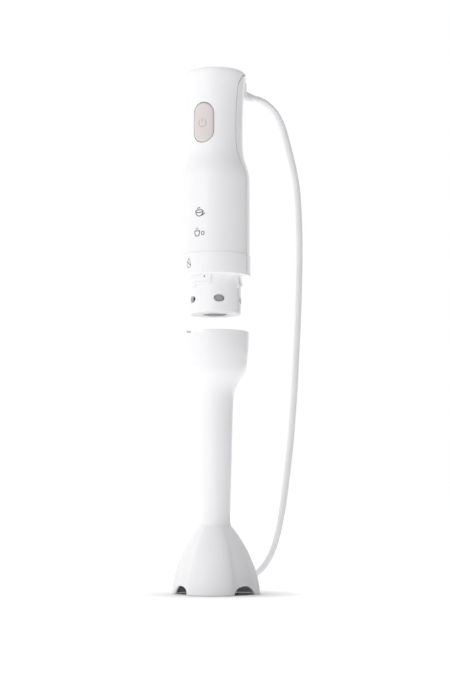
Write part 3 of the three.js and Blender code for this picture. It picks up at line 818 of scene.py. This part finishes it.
def build_button():
    """A crowned key with soft edges that stands just proud of its slot, on a flange behind the wall."""
    outline = stadium(9, 16.5, 20)
    rim = 1.5
    face_radius = 23.18
    points, rows = [], []
    steps = [(0, 8.6)]
    for i in range(1, 8):
        angle = math.pi / 2 * i / 7
        steps.append((rim * (1 - math.cos(angle)), rim * (1 - math.sin(angle))))
    for distance in (2.4, 4.0, 5.8, 7.4, 8.6):
        steps.append((distance, 0.0))
    for distance, drop in steps:
        rows.append(len(points))
        for x, z in inset(outline, distance) if distance else outline:
            reach = math.sqrt(face_radius**2 - x * x)
            points.append((x, -reach + drop, BUTTON_Z + z))
    count = len(outline)
    faces = [tuple(range(count))]
    for a, b in zip(rows, rows[1:]):
        faces += [(a + (i + 1) % count, a + i, b + i, b + (i + 1) % count) for i in range(count)]
    faces.append(tuple(reversed(range(rows[-1], rows[-1] + count))))
    key = with_outward_normals(mesh_object("button_fine", points, faces))
    flange = place(prism("flange", stadium(10.6, 18.3, 16), 14, 15.6, 0.3), FACING)
    place(flange, Matrix.Translation((0, 0, BUTTON_Z)))
    combine(key, "UNION", flange)
    finished(key, "button_rubber", "push_button", ["button"], crease=40)
    mark = [
        (arc(0, 0, 3.3, 3.3, 125, 415, 48), 0.65, False),
        ([(0, 0.6), (0, 2.4), (0, 4.2)], 0.65, False),
    ]
    printed("button_mark", mark, 23.2, 0, BUTTON_Z - 0.5, "push_button", mark_rubber, "button_rubber")


build_button()


# ---------------------------------------------------------------- blending bar

def build_bar():
    shaft = through([
        (12.85, NECK_Z), (12.35, 58), (12.2, 66), (12.6, 84), (13.1, 104), (13.5, 120), (13.9, 136),
        (14.25, 148), (14.9, 159), (16.2, 165), (18.6, 170), (21.6, 174.6), (24.0, 178.6), (25.3, 183),
        (26.0, 189), (26.75, 195.5),
    ], 4)
    cup = filleted([
        (26.8, 196.5), (27.5, RIM_Z, 0.7), (22.9, RIM_Z, 0.5), (22.9, 201.8, 0.3), (CUP_R, 201.2, 0.3),
        (CUP_R, 180, 0.8), (5.6, 180, 0.3), (5.6, 172, 0.3), (9, 172), (9, 176.6), (17.2, 176.6, 0.6),
        (14.6, 168, 3), (12.2, 160.5, 2), (11.4, 136), (10.7, 104), (9.9, 66), (9.9, NECK_Z),
    ], closed=False)
    bar = lathe("bar_tube_fine", shaft + cup, 160)
    ledge_shape = filleted([(8.0, 206.7, 0.6), (32.9, 206.7, 0.6), (32.9, 211, 0.6), (8.0, 211, 0.6)])
    for turn in LUG_TURNS:
        ledge = wrapped(prism("ledge", ledge_shape, -0.5, 1.3, 0.25, 2), 22.7, turn)
        combine(bar, "UNION", ledge)
    keyway = filleted([(-13.2, 209.7, 2.0), (1.6, 209.7, 1.4), (3.4, 212.0, 1.0), (4.6, 213.4),
                       (-17.6, 213.4)])
    combine(bar, "DIFFERENCE", wrapped(prism("keyway", keyway, -6, 3), 27.0))
    finished(bar, "white_plastic", "blending_bar", ["bar_tube"])


build_bar()


def guard_shape(radius, degrees, height):
    """Three flat-topped lobes, and an arched notch in the rim under each groove between them."""
    if radius < 10.6 or height > NECK_Z - 0.6:
        return radius, height
    spacing = 120.0
    off = (degrees - PANEL_TURN) % spacing - spacing / 2
    arch = max(0.0, 1 - abs(off / 25.0) ** 2.4) ** 0.62
    rise = 6.8 * arch
    band = 13.0
    if height < band:
        height = rise + height * (1 - rise / band)
    share = max(0.0, (NECK_Z - height) / NECK_Z)
    wave = math.tanh(2.2 * math.cos(math.radians(3 * (degrees - PANEL_TURN))) + 0.2) / math.tanh(2.4)
    depth = 1.72 * share**0.85 if wave > 0 else 4.0 * share**0.62
    lean = -rise / 7 * max(0.0, 1 - (height - rise) / band)
    return radius + depth * wave + lean, height


def build_guard():
    outer = through([(34.95, 1.3), (34.4, 7), (33.2, 13.6), (31.5, 20), (29.2, 26), (26.4, 33),
                     (23.1, 39.5), (19.4, 45.6), (15.6, 51.2), (13.0, 54.5)], 4)
    inner = through([(13.3, 50.5), (17.2, 44.3), (21, 38.2), (24.2, 32), (27, 25.1), (29.2, 19.3),
                     (30.9, 13.1), (32.1, 7.2), (33.0, 1.2)], 3)
    hub = filleted([(12.9, NECK_Z - 0.04, 0.12), (9.6, NECK_Z - 0.04), (9.6, 66, 0.3), (6.4, 66, 0.3),
                    (6.4, 33, 0.3), (8.8, 33, 0.4), (8.8, 50.6, 1)], closed=False)
    rim = [(33.1, 0.45), (33.4, 0.08), (34.0, 0.0), (34.6, 0.08), (34.9, 0.45)]
    angles = sorted({round(a, 3) for a in np.arange(0, 360, 1.25)}
                    | {round((PANEL_TURN - 60 + 120 * k + s * d) % 360, 3)
                       for k in range(3) for s in (-1, 1) for d in np.arange(21.5, 26.6, 0.5)})
    guard = lathe("bell_guard_fine", outer + hub + inner + rim, angles=angles, shape=guard_shape)
    finished(guard, "white_plastic", "blending_bar", ["bell_guard"], crease=40)


build_guard()


# ---------------------------------------------------------------- studio

def studio():
    far = 60
    floor = mesh_object("floor", [(-far, -far, 0), (far, -far, 0), (far, far, 0), (-far, far, 0)],
                        [(0, 1, 2, 3)])
    material, tree, shader = surface("floor_paper", Roughness=0.9)
    shader.inputs["Emission Color"].default_value = (1, 1, 1, 1)
    tone = blended(tree, noise(tree, 1.5), (0.86, 0.86, 0.86), (0.9, 0.9, 0.9))
    tree.links.new(tone, shader.inputs["Base Color"])
    # The floor glows so that it reads evenly white, but the glow fades to nothing within 0.1 m of the
    # axis: a painted shadow on the floor under and inside the bell.
    coordinates = node(tree, "ShaderNodeTexCoord")
    reach = node(tree, "ShaderNodeVectorMath", operation="LENGTH")
    tree.links.new(coordinates.outputs["Object"], reach.inputs[0])
    glow_with_painted_shadow = ranged(tree, reach.outputs["Value"], 0.0, 0.5, 0.03, 0.1)
    tree.links.new(glow_with_painted_shadow, shader.inputs["Emission Strength"])
    floor.data.materials.append(material)
    floor.location.z = -0.0002

    world = bpy.data.worlds.new("studio")
    scene.world = world
    world.use_nodes = True
    tree = world.node_tree
    background = tree.nodes["Background"]
    background.inputs["Strength"].default_value = 1.0
    # White all round but for a darker side on the camera's right, a little below level.
    coordinates = node(tree, "ShaderNodeTexCoord")
    dark = math.radians(VIEW_ANGLE + 68)
    drop = math.radians(22)
    aim = node(tree, "ShaderNodeVectorMath", operation="DOT_PRODUCT")
    level = math.cos(drop)
    aim.inputs[1].default_value = (math.sin(dark) * level, -math.cos(dark) * level, -math.sin(drop))
    tree.links.new(coordinates.outputs["Generated"], aim.inputs[0])
    darkness = ranged(tree, aim.outputs["Value"], 0, 1, start=-0.17, end=0.5)
    tone = blended(tree, darkness, (1, 1, 1), (0.1, 0.096, 0.108), 0, 1)
    tree.links.new(tone, background.inputs["Color"])

    def panel(name, turn, distance, height, size, power):
        data = bpy.data.lights.new(name, "AREA")
        data.shape = "RECTANGLE"
        data.size, data.size_y = size
        data.energy = power
        light = bpy.data.objects.new(name, data)
        scene.collection.objects.link(light)
        light.location = (*(c * distance for c in polar(1, VIEW_ANGLE + turn)), height)
        towards = Vector((0, 0, 0.22)) - light.location
        light.rotation_euler = towards.to_track_quat("-Z", "Y").to_euler()

    panel("key", -42, 1.6, 0.6, (0.9, 1.6), 2.2)
    panel("edge", 150, 1.5, 0.5, (0.5, 1.4), 0.5)
    scene.view_settings.view_transform = "Standard"


studio()
